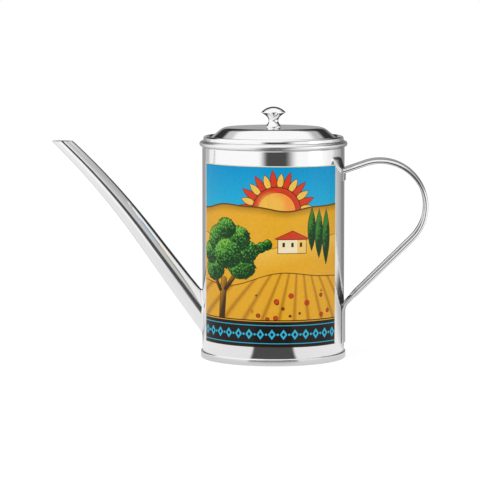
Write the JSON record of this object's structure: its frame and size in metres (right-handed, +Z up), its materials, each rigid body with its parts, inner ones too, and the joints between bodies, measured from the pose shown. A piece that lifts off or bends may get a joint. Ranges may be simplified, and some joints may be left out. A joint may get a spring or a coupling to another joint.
{
  "type": "olive oil tin with spout",
  "caption": "Cylindrical stainless steel oil can with a long tapered spout, a loop strap handle, a lift-off domed lid with a turned knob, and a printed film on its front.",
  "frame": {"origin": "on the can's axis, in the plane that the can stands on", "axes": "+Z up along the can's axis, the spout points to -X, the handle to +X, and the printed front faces -Y"},
  "size_m": [0.2371, 0.093, 0.1581],
  "materials": {
    "wall_steel": "polished sheet with a faint rolled grain",
    "tube_steel": "polished tube",
    "weld_steel": "ground and polished weld",
    "strap_steel": "polished strip",
    "lid_steel": "polished pressing with a faint turned grain",
    "knob_metal": "mirror polish",
    "screw_steel": "plain zinc-grey hardware",
    "printed_film": "glossy print in blue, gold, green, red and near-black"
  },
  "bodies": {
    "can": {"body_shell": "wall_steel", "base_pan": "wall_steel", "label_film": "printed_film", "spout_tube": "tube_steel", "spout_weld": "weld_steel", "handle_strap": "strap_steel"},
    "lid": {"lid_shell": "lid_steel", "lid_skirt": "lid_steel", "lid_knob": "knob_metal", "knob_screw": "screw_steel", "knob_washer": "screw_steel"}
  },
  "joints": [
    {"name": "lid_lift", "type": "slide", "parent": "can", "child": "lid", "axis": [0, 0, 1], "range_m": [0, 0.06]}
  ]
}
